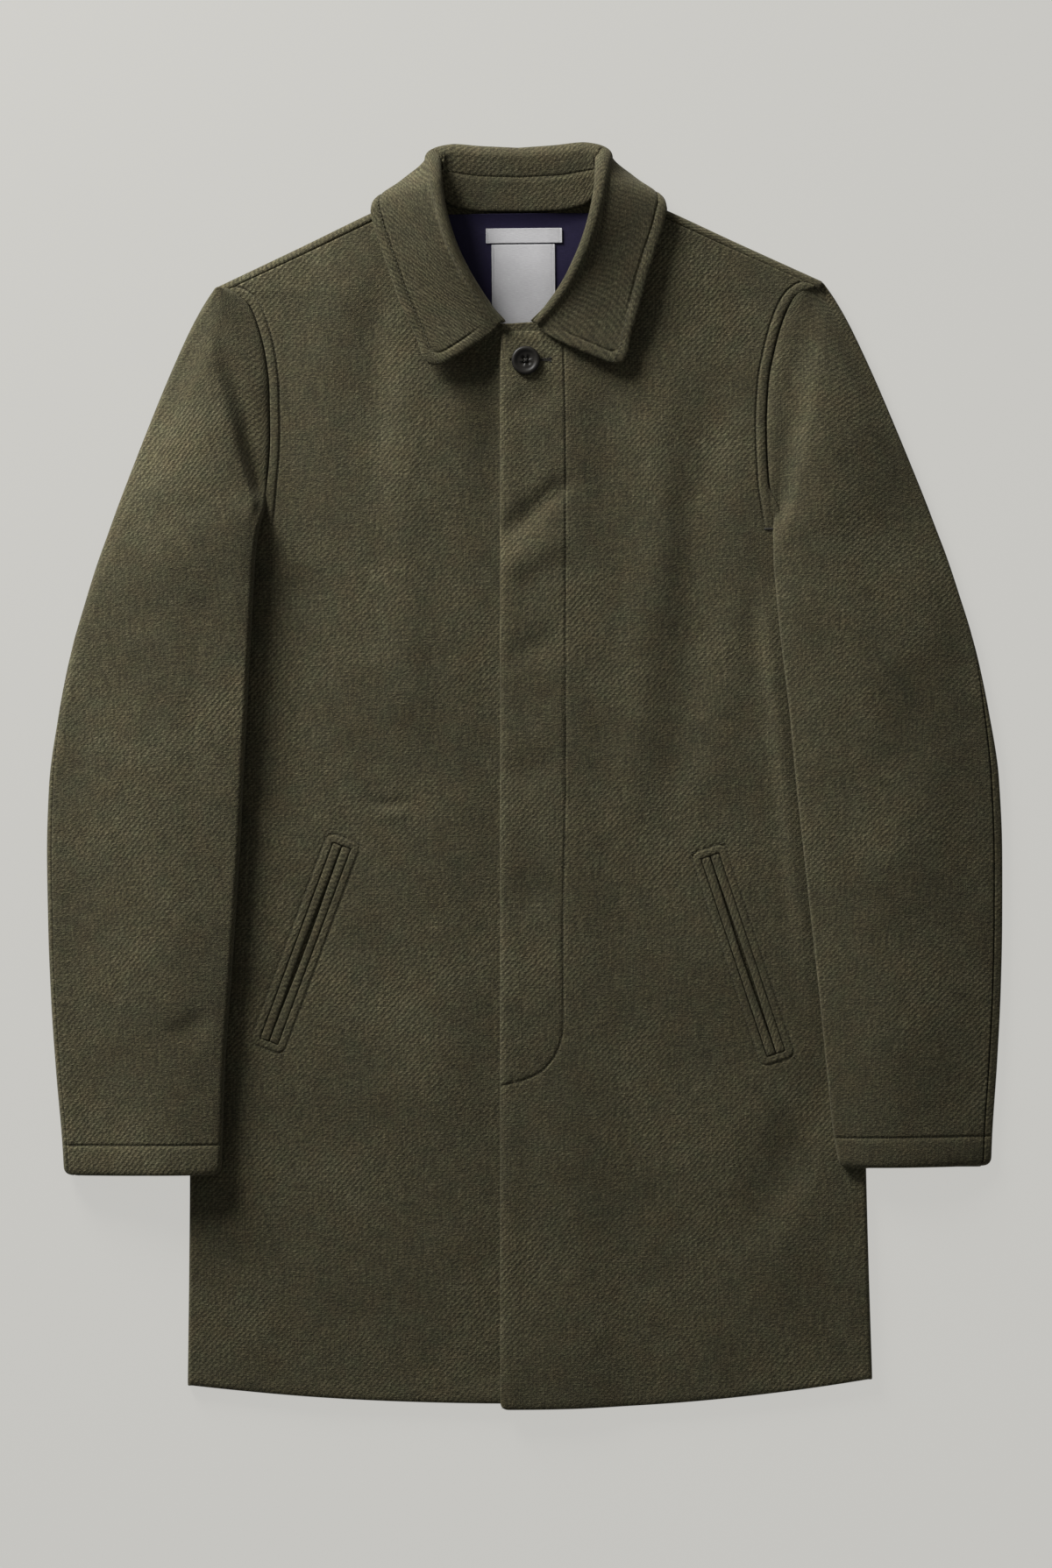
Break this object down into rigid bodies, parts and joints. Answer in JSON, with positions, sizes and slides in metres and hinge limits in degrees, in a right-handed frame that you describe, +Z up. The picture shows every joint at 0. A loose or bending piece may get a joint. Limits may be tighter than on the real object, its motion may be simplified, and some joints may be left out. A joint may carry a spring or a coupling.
{
  "type": "mackintosh coat",
  "caption": "Thigh-length mackintosh in olive wool twill with a turn-down collar, concealed fly, set-in sleeves and slanted welt pockets, laid flat face up.",
  "frame": {"origin": "on the surface the coat lies on, under the middle of its outline", "axes": "+Y towards the collar, -Y towards the hem, +X towards the wearer's left sleeve, +Z up out of the coat's front"},
  "size_m": [0.7418, 0.9824, 0.0394],
  "materials": {
    "wool_twill": "soft heathered olive wool twill",
    "lining": "smooth dark navy lining",
    "label": "pale grey woven label, left bare",
    "button": "dark horn-like resin, satin"
  },
  "bodies": {
    "root": {"back": "wool_twill", "front_left": "wool_twill", "front_right": "wool_twill", "sleeve_top_left": "wool_twill", "sleeve_under_left": "wool_twill", "sleeve_top_right": "wool_twill", "sleeve_under_right": "wool_twill", "collar_stand": "wool_twill", "collar_fall": "wool_twill", "welt_front_left": "wool_twill", "welt_side_left": "wool_twill", "welt_front_right": "wool_twill", "welt_side_right": "wool_twill", "lining": "lining", "label_upper": "label", "label_lower": "label", "button": "button"}
  },
  "joints": []
}
